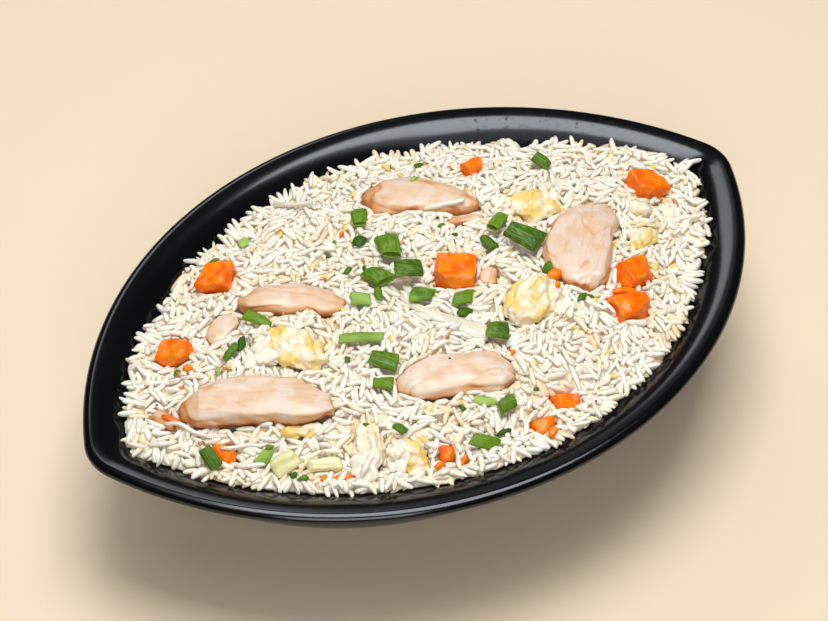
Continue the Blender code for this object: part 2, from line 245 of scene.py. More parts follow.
def normals_of(mesh):
    found = np.empty(len(mesh.vertices) * 3)
    mesh.vertex_normals.foreach_get("vector", found)
    return found.reshape(-1, 3)


def set_points(mesh, points):
    mesh.vertices.foreach_set("co", points.reshape(-1))
    mesh.update()


def store(mesh, name, values):
    layer = mesh.attributes.new(name, "FLOAT", "POINT")
    layer.data.foreach_set("value", np.asarray(values, dtype=np.float32))


def noise_at(points, size, seed=0.0):
    """Smooth noise, about -1 to 1, with patches of this size along each axis."""
    scaled = points / np.asarray(size) + seed * np.array((7.31, 3.17, 5.71))
    return np.array([noise.noise(Vector(p)) for p in scaled])


def piece_axes(points):
    """A piece's centre and its long, cross and upward directions."""
    centre = points.mean(axis=0)
    flat = (points - centre)[:, :2]
    _, turned = np.linalg.eigh(flat.T @ flat)
    along = np.array((turned[0, 1], turned[1, 1], 0.0))
    up = np.array((0.0, 0.0, 1.0))
    across = np.cross(up, along)
    return centre, np.stack((along, across, up))


def smoothstep(values, low, high):
    part = np.clip((values - low) / (high - low), 0.0, 1.0)
    return part * part * (3 - 2 * part)


# ---------------------------------------------------------------- the bowl


def leaf_loop(inset, steps_side, steps_tip):
    """The leaf outline this far inside the rim's outer edge, in mm, anticlockwise."""
    side = SIDE_RADIUS - inset
    shrink = TIP_RADIUS - INNER_TIP_RADIUS
    tip = INNER_TIP_RADIUS + shrink * math.exp(-inset / shrink)
    reach = math.sqrt((side - tip) ** 2 - SIDE_CENTRE**2)
    turn = math.atan2(SIDE_CENTRE, reach)
    arcs = (
        ((reach, 0), tip, -turn, turn, steps_tip),
        ((0, -SIDE_CENTRE), side, turn, math.pi - turn, steps_side),
        ((-reach, 0), tip, math.pi - turn, math.pi + turn, steps_tip),
        ((0, SIDE_CENTRE), side, math.pi + turn, 2 * math.pi - turn, steps_side),
    )
    found = []
    for centre, radius, start, end, steps in arcs:
        for step in range(steps):
            angle = start + (end - start) * step / steps
            found.append((centre[0] + radius * math.cos(angle), centre[1] + radius * math.sin(angle)))
    return found


def smooth_curve(points, steps):
    """A smooth curve through all the points."""
    points = [np.array(p, dtype=float) for p in points]
    found = []
    for i in range(len(points) - 1):
        before = points[max(i - 1, 0)]
        start, end = points[i], points[i + 1]
        after = points[min(i + 2, len(points) - 1)]
        for step in range(steps):
            t = step / steps
            square = 2 * before - 5 * start + 4 * end - after
            cube = 3 * start - before - 3 * end + after
            found.append(0.5 * (2 * start + (end - before) * t + square * t**2 + cube * t**3))
    found.append(points[-1])
    return found


def ringed_body(section, steps_side, steps_tip):
    """A closed body of leaf-shaped rings, bridged in order and capped at both ends."""
    bm = bmesh.new()
    count = 2 * (steps_side + steps_tip)
    before = first = None
    for inset, height in section:
        ring = bmesh.ops.create_circle(bm, segments=count, radius=1.0)["verts"]
        for vert, (x, y) in zip(ring, leaf_loop(inset, steps_side, steps_tip)):
            vert.co = Vector((x, y, height)) * MM
        edges = list({edge for vert in ring for edge in vert.link_edges})
        if before:
            bmesh.ops.bridge_loops(bm, edges=before + edges)
        first = first or edges
        before = edges
    bmesh.ops.edgeloop_fill(bm, edges=first)
    bmesh.ops.edgeloop_fill(bm, edges=before)
    bmesh.ops.recalc_face_normals(bm, faces=bm.faces)
    return bm


def melamine():
    look = Look("black_melamine")
    fine = look.clouds(0.0035, 3.0)
    broad = look.clouds(0.03, 2.0)
    drops = look.node("ShaderNodeTexVoronoi", {"feature": "F1"}, {"Vector": look.place(), "Scale": 900.0})
    misted = broad.between(0.52, 0.66) * (1 - drops.between(0.12, 0.24))
    colour = look.mix(broad, rgba((3, 3, 4)), rgba((7, 7, 8)))
    rough = 0.11 + fine * 0.03 + broad * 0.05 - misted * 0.04
    normal = look.bump(fine, 0.00004, 0.25)
    return look.finish(Base_Color=colour, Roughness=rough, Normal=normal,
                       Specular_Tint=(0.86, 0.92, 1.0, 1.0), Specular_IOR_Level=0.5)


def build_bowl(settings):
    section = smooth_curve(INNER_WALL, 4)[:-1] + smooth_curve(LIP, 4)[:-1]
    section += smooth_curve(OUTER_WALL, 4)[:-1] + smooth_curve(FOOT, 2)
    bm = ringed_body(section, settings.side_steps, settings.tip_steps)
    link("leaf_bowl", mesh_from(bm, "leaf_bowl"), melamine(), "bowl")


# ---------------------------------------------------------------- chicken and egg


def fleshy_mesh(node, voxel, smoothing):
    """A CAD piece made fine and soft, ready to be shaped."""
    mesh = mesh_from(merged_copy(node), node)
    return evaluated_mesh(mesh, (
        ("REMESH", {"mode": "VOXEL", "voxel_size": voxel}),
        ("SMOOTH", {"factor": 0.5, "iterations": smoothing}),
    ))


def chicken_look(settings):
    look = Look("fried_chicken")
    brown = look.attribute("brown")
    fibre = look.attribute("fibre")
    pale, tan = rgba(settings.pale), rgba(settings.tan)
    patches = look.clouds(0.009, 3.0)
    colour = look.mix(patches.between(0.42, 0.58), pale, rgba(settings.pink))
    colour = look.mix(fibre.between(0.4, 1.0) * 0.25, colour, tan)
    # Painted shade: the browning mask also darkens sides, undersides, lower parts and creases towards tan and seared;
    # its patches, ends and shreds are real browning.
    colour = look.mix(brown.between(0.3, 0.85), colour, tan)
    colour = look.mix(brown.between(0.72, 1.1) * 0.85, colour, rgba(settings.seared))
    specks = look.clouds(0.0016, 2.0).between(0.70, 0.76)
    colour = look.mix(specks * 0.35, colour, rgba(settings.seared))
    along = {"X": look.attribute("run") * 0.1, "Y": look.attribute("side")}
    grain = look.node("ShaderNodeCombineXYZ", {}, along)
    lines = look.clouds(0.8, 3.0, grain)
    colour = look.mix(lines.between(0.5, 0.75) * 0.25, colour, rgba(settings.pink))
    rough = 0.28 + look.clouds(0.004, 2.0) * 0.2
    normal = look.bump(lines, 0.0003, 0.35, look.bump(look.clouds(0.0009, 3.0), 0.00012, 0.5))
    return look.finish(
        Base_Color=colour, Roughness=rough, Normal=normal, Subsurface_Weight=0.2, Subsurface_Scale=0.003,
        Coat_Weight=0.25, Coat_Roughness=0.25,
    )


# Slices that are browner all over than the rest.
TANNED = {"chicken_strip_1": 0.22, "chicken_strip_3": 0.28, "chicken_strip_6": -0.2}


def build_chicken(settings):
    look = chicken_look(settings)
    for seed, node in enumerate(sorted(n for n in NODES if n.startswith("chicken"))):
        mesh = fleshy_mesh(node, 0.65 * MM, 5)
        points, normals = points_of(mesh), normals_of(mesh)
        centre, axes = piece_axes(points)
        local = (points - centre) @ axes.T
        size = np.ptp(local, axis=0)
        fine = min(1.0, size[0] / 0.03)
        lumps = noise_at(local, (11 * MM, 8 * MM, 6 * MM), seed + 1)
        strands = noise_at(local, (13 * MM, 1.5 * MM, 1.6 * MM), seed + 9)
        threads = noise_at(local, (7 * MM, 0.8 * MM, 0.8 * MM), seed + 17)
        creases = noise_at(local, (26 * MM, 7 * MM, 7 * MM), seed + 25)
        groove = np.exp(-((creases / 0.07) ** 2))
        ends = smoothstep(np.abs(local[:, 0]) / (size[0] / 2), 0.72, 1.0)
        low = smoothstep(-local[:, 2] / (size[2] / 2), -0.35, 0.5)
        ragged = noise_at(local, (3.5 * MM, 2.6 * MM, 2.2 * MM), seed + 33)
        raised = strands * 0.16 * smoothstep(creases, -0.1, 0.25)
        push = (lumps * 0.9 + raised + threads * 0.08 - groove * 0.35) * fine
        push += ragged * (0.8 * ends + 0.7 * low) * fine
        shaped = local + (normals @ axes.T) * (push * MM)[:, None]
        cap = 0.22 * size[2]
        above = np.maximum(shaped[:, 2] - cap, 0.0)
        shaped[:, 2] -= 0.45 * above
        set_points(mesh, centre + shaped @ axes)
        patch = noise_at(local, (9 * MM, 5 * MM, 5 * MM), seed + 41)
        # Painted shade in the browning mask: faces turned away from above, the lower part and the creases are browned
        # as shade; the patches, the ends, the shreds and the tanned slices are real browning.
        shade = np.clip(1.0 - normals[:, 2], 0.0, 1.0)
        brown = shade * 0.6 + 0.45 * low + patch * 0.55 + 0.4 * groove + 0.35 * ends
        if "shred" in node or "end" in node:
            brown += 0.55
        brown += TANNED.get(node, 0.0)
        store(mesh, "brown", brown)
        store(mesh, "run", local[:, 0] / MM)
        store(mesh, "side", local[:, 1] / MM)
        store(mesh, "fibre", 0.5 + 0.9 * strands + 0.6 * threads)
        link(node + "_cooked", mesh, look, node)


def egg_look(name, settings, yolk_bias):
    look = Look(name)
    yolk = look.attribute("yolk")
    hollow = look.attribute("hollow")
    colour = look.mix((yolk + yolk_bias).between(0.3, 0.75), rgba(settings.white), rgba(settings.yellow))
    colour = look.mix((yolk + yolk_bias).between(0.85, 1.2) * 0.7, colour, rgba(settings.golden))
    # Painted shade: the golden colour darkens the hollows between the curds.
    colour = look.mix(hollow.between(0.3, 1.0) * 0.45, colour, rgba(settings.golden))
    rough = 0.34 + look.clouds(0.003, 2.0) * 0.22
    normal = look.bump(look.clouds(0.0011, 3.0), 0.00015, 0.5)
    return look.finish(
        Base_Color=colour, Roughness=rough, Normal=normal, Subsurface_Weight=0.15, Subsurface_Scale=0.002,
    )


def build_egg(settings):
    yellow = egg_look("scrambled_egg", settings, 0.12)
    white = egg_look("scrambled_white", settings, -0.45)
    for seed, node in enumerate(sorted(n for n in NODES if n.startswith("egg"))):
        mesh = fleshy_mesh(node, 0.6 * MM, 3)
        points, normals = points_of(mesh), normals_of(mesh)
        centre, axes = piece_axes(points)
        local = (points - centre) @ axes.T
        big = np.abs(noise_at(local, 8.5 * MM, seed + 3))
        folds = np.abs(noise_at(local, (6 * MM, 3.6 * MM, 4 * MM), seed + 11))
        curds = np.abs(noise_at(local, 2.2 * MM, seed + 19))
        push = 3.4 * (big - 0.25) + 2.6 * (folds - 0.2) + 0.9 * (curds - 0.2)
        set_points(mesh, points + normals * (push * MM)[:, None])
        tint = noise_at(local, (8 * MM, 5 * MM, 6 * MM), seed + 27)
        store(mesh, "yolk", 0.3 + 1.3 * tint + 0.4 * (folds - 0.2))
        # The hollows between the big lumps and folds, where the shade is painted.
        store(mesh, "hollow", 1.0 - 3.2 * np.minimum(big, folds * 1.2))
        is_white = "white" in node
        link(node + "_cooked", mesh, white if is_white else yellow, node)


# ---------------------------------------------------------------- vegetables


def carrot_look(settings):
    look = Look("diced_carrot")
    patches = look.clouds(0.006, 3.0)
    fine = look.clouds(0.0012, 2.0)
    colour = look.mix(patches.between(0.38, 0.58), rgba(settings.carrot), rgba(settings.carrot_light))
    # Painted shade: the lower part of each piece is darkened towards deep carrot.
    colour = look.mix(look.attribute("hollow").between(0.5, 1.0) * 0.5, colour, rgba(settings.carrot_deep))
    rough = 0.2 + fine * 0.16
    normal = look.bump(fine, 0.0001, 0.4)
    return look.finish(
        Base_Color=colour, Roughness=rough, Normal=normal, Subsurface_Weight=0.15, Subsurface_Scale=0.002,
        Specular_IOR_Level=0.35,
    )


def build_carrots(settings):
    look = carrot_look(settings)
    for seed, node in enumerate(sorted(n for n in NODES if n.startswith("carrot"))):
        mesh = fleshy_mesh(node, 0.5 * MM, 4)
        points, normals = points_of(mesh), normals_of(mesh)
        uneven = noise_at(points, 5 * MM, seed + 2) * 1.1 + noise_at(points, 1.6 * MM, seed + 5) * 0.2
        centre, axes = piece_axes(points)
        local = (points - centre) @ axes.T
        half = np.abs(local).max(axis=0)
        shaped = local + (normals @ axes.T) * (uneven * MM)[:, None]
        for slice_number in range(2):
            angle = seed * 2.1 + slice_number * 2.4
            facing = np.array((math.cos(angle), math.sin(angle), 0.45 * math.sin(seed * 1.3)))
            facing /= np.linalg.norm(facing)
            beyond = np.maximum(shaped @ facing - 0.74 * np.linalg.norm(half * facing), 0.0)
            shaped -= 0.9 * beyond[:, None] * facing
        set_points(mesh, centre + shaped @ axes)
        # Painted shade mask: 0.5 at the middle, rising towards the bottom of the piece.
        height = local[:, 2]
        store(mesh, "hollow", 0.5 - height / np.ptp(height))
        link(node + "_diced", mesh, look, node)


def leaf_look(settings):
    look = Look("spring_onion_leaf")
    tone = look.attribute("tone")
    inside = look.attribute("inside")
    veins = look.attribute("veins")
    dark, mid = rgba(settings.leaf_dark), rgba(settings.leaf)
    colour = look.mix(tone, dark, mid)
    colour = look.mix((tone - 0.8).between(0.2, 1.0), colour, rgba(settings.leaf_pale))
    colour = look.mix(veins.between(0.3, 1.0) * 0.25, colour, rgba(settings.leaf_pale))
    colour = look.mix(inside.between(0.3, 0.9) * 0.75, colour, rgba(settings.leaf_inside))
    rough = 0.36 + look.clouds(0.002, 2.0) * 0.2
    normal = look.bump(veins, 0.0001, 0.4)
    return look.finish(
        Base_Color=colour, Roughness=rough, Normal=normal, Subsurface_Weight=0.08, Subsurface_Scale=0.001,
        Specular_IOR_Level=0.25,
    )


# How pale each cut leaf is: 0 dark green, 1 mid green, 1.8 the pale stem.
LEAF_TONES = {1: 0.75, 2: 0.7, 3: 0.2, 4: 0.6, 5: 1.0, 6: 0.25, 7: 0.75, 8: 0.9, 9: 0.35, 10: 1.35, 11: 0.6,
              12: 0.95, 13: 0.9, 14: 1.0, 15: 1.5, 16: 0.3, 17: 0.4, 18: 0.4, 19: 1.35, 20: 0.6, 21: 0.5}


def build_spring_onions(settings):
    look = leaf_look(settings)
    for node in sorted(n for n in NODES if n.startswith("spring_onion")):
        number = int(node.rsplit("_", 1)[1])
        bm = merged_copy(node)
        points = np.array([vert.co for vert in bm.verts])
        centre = points.mean(axis=0)
        _, _, turned = np.linalg.svd(points - centre)
        local = (points - centre) @ turned.T
        reach = np.hypot(local[:, 1] / np.abs(local[:, 1]).max(), local[:, 2] / np.abs(local[:, 2]).max())
        bm.free()
        mesh = mesh_from(merged_copy(node), node)
        store(mesh, "inside", (reach < 0.84).astype(float))
        mesh = evaluated_mesh(mesh, (("SUBSURF", {"levels": 2, "render_levels": 2}),))
        points, normals = points_of(mesh), normals_of(mesh)
        local = (points - centre) @ turned.T
        half = np.abs(local).max(axis=0)
        run, cross = local[:, 0] / half[0], local[:, 1] / half[1]
        shaped = local.copy()
        shaped[:, 1] *= 1.0 + 0.22 * run * math.sin(number * 1.9)
        shaped[:, 0] += 0.16 * half[0] * cross * math.cos(number * 2.3)
        shaped[:, 2] += np.sign(turned[2, 2]) * (0.5 - run**2) * 0.8 * MM * (0.6 + 0.4 * math.sin(number))
        shaped += normals @ turned.T * (noise_at(local, 3.5 * MM, number) * 0.4 * MM)[:, None]
        set_points(mesh, centre + shaped @ turned)
        angle = np.arctan2(local[:, 2] * 2.0, local[:, 1])
        store(mesh, "veins", 0.5 + 0.5 * np.sin(angle * 22 + noise_at(local, 5 * MM, number + 3) * 2))
        store(mesh, "tone", np.clip(LEAF_TONES[number] + 0.25 * noise_at(local, 7 * MM, number + 7), 0.0, 2.0))
        link(node + "_cut", mesh, look, node)


def onion_look(settings):
    look = Look("soft_onion")
    strands = look.attribute("strands")
    colour = look.mix(strands.between(0.2, 0.9), rgba(settings.onion), rgba(settings.onion_deep))
    rough = 0.24 + look.clouds(0.003, 2.0) * 0.2
    normal = look.bump(strands, 0.00015, 0.4)
    return look.finish(
        Base_Color=colour, Roughness=rough, Normal=normal, Subsurface_Weight=0.2, Subsurface_Scale=0.003,
    )


def cabbage_look(settings):
    look = Look("fried_cabbage")
    strands = look.attribute("strands")
    colour = look.mix(strands.between(0.2, 0.9), rgba(settings.cabbage), rgba(settings.cabbage_rib))
    rough = 0.24 + look.clouds(0.003, 2.0) * 0.2
    return look.finish(
        Base_Color=colour, Roughness=rough, Normal=look.bump(strands, 0.0002, 0.5),
        Subsurface_Weight=0.2, Subsurface_Scale=0.003,
    )


def build_onion(settings):
    looks = {"onion": onion_look(settings), "cabbage": cabbage_look(settings)}
    for seed, node in enumerate(sorted(n for n in NODES if n.startswith(("onion", "cabbage")))):
        mesh = fleshy_mesh(node, 0.45 * MM, 3)
        points, normals = points_of(mesh), normals_of(mesh)
        centre, axes = piece_axes(points)
        local = (points - centre) @ axes.T
        ribs = noise_at(local, (20 * MM, 1.6 * MM, 3 * MM), seed + 2)
        wave = noise_at(local, 6 * MM, seed + 6)
        push = ribs * 0.3 + wave * (1.3 if "cabbage" in node else 0.5)
        set_points(mesh, points + normals * (push * MM)[:, None])
        store(mesh, "strands", 0.5 + 0.8 * ribs)
        link(node + "_soft", mesh, looks[node.split("_")[0]], node)


# ---------------------------------------------------------------- the rice


class Ground:
    """Heights seen from above on a fine square grid: the wall, the heap to be filled and what lies so far."""

    CELL = 0.5

    def __init__(self, core):
        self.x0, self.y0 = -HALF_LENGTH, -HALF_WIDTH
        self.nx = int(2 * HALF_LENGTH / self.CELL)
        self.ny = int(2 * HALF_WIDTH / self.CELL)
        self.wall = self.heights("leaf_bowl")
        self.goal = self.heights_of_mesh(merged_copy("rice_heap"))
        bm = bmesh.new()
        bm.from_mesh(core)
        self.core = self.heights_of_mesh(bm)

    def heights(self, name):
        bm = bmesh.new()
        bm.from_mesh(bpy.data.objects[name].data)
        return self.heights_of_mesh(bm)

    def heights_of_mesh(self, bm):
        """The highest point in each cell, in mm, or -99 where there is none."""
        found = np.full((self.nx, self.ny), -99.0)
        tree = BVHTree.FromBMesh(bm)
        low = np.min([vert.co[:2] for vert in bm.verts], axis=0) / MM
        high = np.max([vert.co[:2] for vert in bm.verts], axis=0) / MM
        bm.free()
        i0, i1 = (max(int((v - self.x0) / self.CELL), 0) for v in (low[0], high[0]))
        j0, j1 = (max(int((v - self.y0) / self.CELL), 0) for v in (low[1], high[1]))
        down = Vector((0, 0, -1))
        for i in range(i0, min(i1 + 1, self.nx)):
            x = (self.x0 + (i + 0.5) * self.CELL) * MM
            for j in range(j0, min(j1 + 1, self.ny)):
                y = (self.y0 + (j + 0.5) * self.CELL) * MM
                hit = tree.ray_cast(Vector((x, y, 0.2)), down)[0]
                if hit:
                    found[i, j] = hit.z / MM
        return found

    def lumps(self, size):
        """Smooth noise over the grid, about -1 to 1, made coarse and then stretched."""
        step = 6
        xs = np.arange(0, self.nx + step, step) * self.CELL / size
        ys = np.arange(0, self.ny + step, step) * self.CELL / size
        coarse = np.array([[noise.noise(Vector((x, y, 3.0))) for y in ys] for x in xs]) * 1.6
        i, j = np.arange(self.nx) / step, np.arange(self.ny) / step
        along = np.array([np.interp(j, np.arange(len(ys)), row) for row in coarse])
        return np.array([np.interp(i, np.arange(len(xs)), column) for column in along.T]).T

    def index(self, x, y):
        i = np.clip(np.asarray((x - self.x0) / self.CELL).astype(int), 0, self.nx - 1)
        j = np.clip(np.asarray((y - self.y0) / self.CELL).astype(int), 0, self.ny - 1)
        return i, j


def grain_kind(length, width, height, blunt, bend, taper):
    """One cooked long grain, lying along X, as a few dozen faces."""
    bm = bmesh.new()
    bmesh.ops.create_uvsphere(bm, u_segments=6, v_segments=7, radius=1.0,
                              matrix=Matrix.Rotation(math.pi / 2, 4, "Y"))
    for vert in bm.verts:
        x = vert.co.x
        full = math.sqrt(max(1.0 - abs(x) ** blunt, 0.0))
        ring = math.hypot(vert.co.y, vert.co.z) or 1.0
        y, z = vert.co.y / ring * full, vert.co.z / ring * full
        if abs(x) > 0.999:
            y = z = 0.0
        waist = 1.0 + taper * x
        vert.co = Vector((x * length / 2, y * width / 2 * waist + bend * x * x * length, z * height / 2 * waist))
    bmesh.ops.recalc_face_normals(bm, faces=bm.faces)
    bmesh.ops.triangulate(bm, faces=bm.faces)
    return bm


# Length, width, height, bluntness, bend and taper of each kind of grain.
GRAIN_KINDS = (
    ("rice_straight", (8.6, 2.40, 2.10, 3.0, 0.00, -0.10)),
    ("rice_curved", (8.3, 2.30, 2.05, 3.0, 0.08, 0.08)),
    ("rice_slim", (9.0, 2.10, 1.90, 2.8, -0.05, -0.16)),
    ("rice_broken", (5.2, 2.40, 2.10, 3.6, 0.02, 0.06)),
)


def rice_look(settings):
    look = Look("cooked_rice")
    tone = look.attribute("tone")
    cool, warm = rgba(settings.rice), rgba(settings.rice_warm)
    colour = look.mix(tone.between(0.15, 0.6), cool, warm)
    colour = look.mix(tone.between(0.5, 1.0), colour, rgba(settings.rice_oiled))
    colour = look.mix(look.clouds(0.0025, 2.0).between(0.55, 0.75) * 0.25, colour, warm)
    rough = 0.3 + look.clouds(0.0015, 2.0) * 0.2
    normal = look.bump(look.clouds(0.0008, 2.0), 0.00006, 0.5)
    return look.finish(
        Base_Color=colour, Roughness=rough, Normal=normal, Subsurface_Weight=0.2, Subsurface_Scale=0.003,
    )


def lay_grain(ground, level, x, y, half, radius, yaw, steepest=0.9):
    """Where a grain comes to rest on what lies below: its height at the middle and its slope."""
    steps = np.array((-0.92, -0.62, -0.31, 0.0, 0.31, 0.62, 0.92)) * half
    c, s = math.cos(yaw), math.sin(yaw)
    across = np.array((-0.45, 0.0, 0.45)) * radius
    px = x + steps[:, None] * c - across[None, :] * s
    py = y + steps[:, None] * s + across[None, :] * c
    under = level[ground.index(px, py)].mean(axis=1)
    left, right = under[:3], under[4:]
    slope = (right[None, :] - left[:, None]) / (steps[4:][None, :] - steps[:3][:, None])
    middle = left[:, None] - slope * steps[:3][:, None]
    best = np.unravel_index(np.argmax(middle), middle.shape)
    tilt = float(np.clip(slope[best], -steepest, steepest))
    height = float((under - tilt * steps).max())
    return height, tilt


def stamp(ground, level, x, y, height, tilt, half, radius, yaw):
    """Adds a lying grain to the heights."""
    c, s = math.cos(yaw), math.sin(yaw)
    reach = half + 0.5
    i0, j0 = ground.index(np.array(x - reach), np.array(y - reach))
    i1, j1 = ground.index(np.array(x + reach), np.array(y + reach))
    xs = ground.x0 + (np.arange(i0, i1 + 1) + 0.5) * ground.CELL - x
    ys = ground.y0 + (np.arange(j0, j1 + 1) + 0.5) * ground.CELL - y
    u = xs[:, None] * c + ys[None, :] * s
    v = -xs[:, None] * s + ys[None, :] * c
    girth = 1.0 - np.abs(u / half) ** 3
    room = np.maximum(girth, 0.0) * radius**2 - v**2
    top = np.where(room > 0, height + tilt * u + np.sqrt(np.maximum(room, 0.0)), -99.0)
    patch = level[i0 : i1 + 1, j0 : j1 + 1]
    np.maximum(patch, top, out=patch)


# How deep a grain sinks between its neighbours, as a part of its radius.
GRAIN_SINK = 0.85

# Grains strewn on the wall past the heap's edge: x and y.
STRAY_GRAINS = ((-64, 72), (-68, 69), (-87, 53), (-84, 57), (-90, 37), (55, 74), (1, 85), (7, 83), (12, 84), (136, 2),
                (127, 5), (123, 8), (-122, 17), (-29, 81), (-8, 84), (-104, 38), (90, 47), (-126, -8))


def pour_rice(ground, settings):
    """Drops grains one by one until the heap reaches its surface. Gives each one's kind and place."""
    rng = np.random.default_rng(settings.seed)
    toppings = [o for o in bpy.data.objects if o.name.endswith(("_cooked", "_diced", "_cut", "_soft"))]
    tops = np.full_like(ground.wall, -99.0)
    for topping in toppings:
        tops = np.maximum(tops, ground.heights(topping.name))
    level = np.maximum(ground.wall, ground.core)
    laid = []
    covered = tops > ground.goal + 0.8
    clumps = settings.lumpiness * ground.lumps(9.0)
    goal = np.where(ground.goal > -50, ground.goal + clumps, -99.0)
    warm = ground.lumps(16.0)

    def drop(x, y, spare, forced=False):
        kind = int(rng.choice(4, p=(0.26, 0.26, 0.26, 0.22)))
        scale = rng.normal(1.0, 0.08)
        length, width = GRAIN_KINDS[kind][1][0] * scale, GRAIN_KINDS[kind][1][1] * scale
        half, radius = length / 2, width / 2
        yaw = rng.uniform(0, 2 * math.pi)
        height, tilt = lay_grain(ground, level, x, y, half, radius, yaw)
        tilt = tilt + rng.normal(0.0, settings.tumble)
        middle = height + radius * (1 - GRAIN_SINK)
        ends = np.array((-0.85, 0.0, 0.85)) * half
        ex, ey = x + ends * math.cos(yaw), y + ends * math.sin(yaw)
        aim = goal[ground.index(ex, ey)]
        aim = np.where(aim < -50, ground.wall[ground.index(ex, ey)] + 2.2, aim)
        if not forced and np.any(middle + tilt * ends + radius > aim + spare):
            return
        stamp(ground, level, x, y, middle, tilt, half, radius, yaw)
        # The tone is random and patchy, with painted shade: grains lying deeper under the heap's surface are tinted
        # warmer, towards the oiled colour.
        tone_and_gap_shade = 0.5 * rng.uniform() + 0.2 * (aim[1] - middle) + 0.35 * warm[ground.index(x, y)]
        tone_and_gap_shade = float(np.clip(tone_and_gap_shade, 0.0, 1.0))
        laid.append((kind, x, y, middle, tilt, yaw, scale, rng.uniform(-0.6, 0.6), tone_and_gap_shade))

    clumped = 0
    for spare, wanted, tries in pouring_passes(settings):
        for n in range(tries):
            if n % 600 == 0:
                cells = np.argwhere((goal > -50) & (goal + spare - level > wanted) & ~covered)
            if not len(cells):
                break
            i, j = cells[rng.integers(len(cells))]
            x = ground.x0 + (i + rng.uniform()) * ground.CELL
            y = ground.y0 + (j + rng.uniform()) * ground.CELL
            drop(x, y, spare)
        clumped = clumped or len(laid)
    for x, y in STRAY_GRAINS:
        drop(x, y, 0.0, True)
    level = np.maximum(level, tops)
    beside = np.argwhere(widened(covered, 3) & ~widened(covered, -3) & (goal > -50))
    for i, j in beside[rng.integers(len(beside), size=settings.leaning)]:
        drop(ground.x0 + i * ground.CELL, ground.y0 + j * ground.CELL, 4.0)
    return laid[:clumped], laid[clumped:]


def widened(mask, cells):
    """The mask grown by this many cells, or shrunk where it is negative."""
    grown = mask if cells > 0 else ~mask
    for _ in range(abs(cells)):
        edge = np.pad(grown, 1)
        grown = grown | edge[2:, 1:-1] | edge[:-2, 1:-1] | edge[1:-1, 2:] | edge[1:-1, :-2]
    return grown if cells > 0 else ~grown


def pouring_passes(settings):
    """Each pass: how far grains may stand out, how deep a gap calls for one, and how many are tried."""
    tries = settings.tries
    return ((0.6, 0.6, tries), (1.6, 1.2, tries), (2.6, 2.1, tries))


def grain_matrix(grain):
    kind, x, y, z, tilt, yaw, scale, roll, _ = grain
    turned = Euler((roll, -math.atan(tilt), yaw), "XYZ").to_matrix().to_4x4()
    return Matrix.Translation((x * MM, y * MM, z * MM)) @ turned @ Matrix.Scale(scale * MM, 4)


def repeated(name, bm, matrices, tones):
    """One mesh of many copies of a small shape, each with its own tone."""
    base = mesh_from(bm, name + "_one")
    points = points_of(base)
    corners = np.empty(len(base.loops), dtype=np.int32)
    base.loops.foreach_get("vertex_index", corners)
    placed = np.concatenate([points @ np.array(m.to_3x3()).T + np.array(m.translation) for m in matrices])
    count = len(matrices)
    everything = (corners[None, :] + (np.arange(count) * len(points))[:, None]).reshape(-1)
    mesh = bpy.data.meshes.new(name)
    mesh.vertices.add(len(placed))
    mesh.vertices.foreach_set("co", placed.reshape(-1))
    mesh.loops.add(len(everything))
    mesh.loops.foreach_set("vertex_index", everything.astype(np.int32))
    mesh.polygons.add(len(everything) // 3)
    mesh.polygons.foreach_set("loop_start", np.arange(0, len(everything), 3, dtype=np.int32))
    mesh.update(calc_edges=True)
    store(mesh, "tone", np.repeat(tones, len(points)))
    bpy.data.meshes.remove(base)
    return mesh


def drawn_in_heap(settings):
    """The heap of rice drawn in by the depth of the loose grains, and lumpy."""
    mesh = mesh_from(merged_copy("rice_heap"), "drawn_in_heap")
    mesh = evaluated_mesh(mesh, (
        ("REMESH", {"mode": "VOXEL", "voxel_size": 1.6 * MM}),
        ("SMOOTH", {"factor": 0.5, "iterations": 3}),
    ))
    points, normals = points_of(mesh), normals_of(mesh)
    upward = smoothstep(normals[:, 2], -0.1, 0.5)
    lumps = noise_at(points, 3.2 * MM, 1) * 0.9
    inward = (settings.depth + lumps) * upward + 0.3
    set_points(mesh, points - normals * (inward * MM)[:, None])
    return mesh


def grains_mesh(name, kind, laid):
    grains = [grain for grain in laid if grain[0] == kind]
    sizes = GRAIN_KINDS[kind][1]
    return repeated(name, grain_kind(*sizes), [grain_matrix(g) for g in grains], [g[8] for g in grains])


def clumped_rice(core, laid):
    """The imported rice: the drawn-in heap and the grains stuck to it, run together into soft clumps."""
    bm = bmesh.new()
    bm.from_mesh(core)
    for kind in range(len(GRAIN_KINDS)):
        part = grains_mesh("stuck", kind, laid)
        bm.from_mesh(part)
        bpy.data.meshes.remove(part)
    mesh = evaluated_mesh(mesh_from(bm, "rice_core"), (
        ("REMESH", {"mode": "VOXEL", "voxel_size": 0.8 * MM}),
        ("SMOOTH", {"factor": 0.5, "iterations": 2}),
        ("DECIMATE", {"ratio": 0.4}),
    ))
    if "tone" in mesh.attributes:
        mesh.attributes.remove(mesh.attributes["tone"])
    points = points_of(mesh)
    tone = 0.42 + 0.5 * noise_at(points, 9 * MM, 5) + 0.2 * noise_at(points, 2.4 * MM, 6)
    store(mesh, "tone", np.clip(tone, 0.0, 1.0))
    return mesh


def build_rice(settings):
    look = rice_look(settings)
    core = drawn_in_heap(settings)
    stuck, loose = pour_rice(Ground(core), settings)
    link("rice_core", clumped_rice(core, stuck), look, "rice_heap")
    for kind, (name, _) in enumerate(GRAIN_KINDS):
        link(name, grains_mesh(name, kind, loose), look)


# ---------------------------------------------------------------- scraps

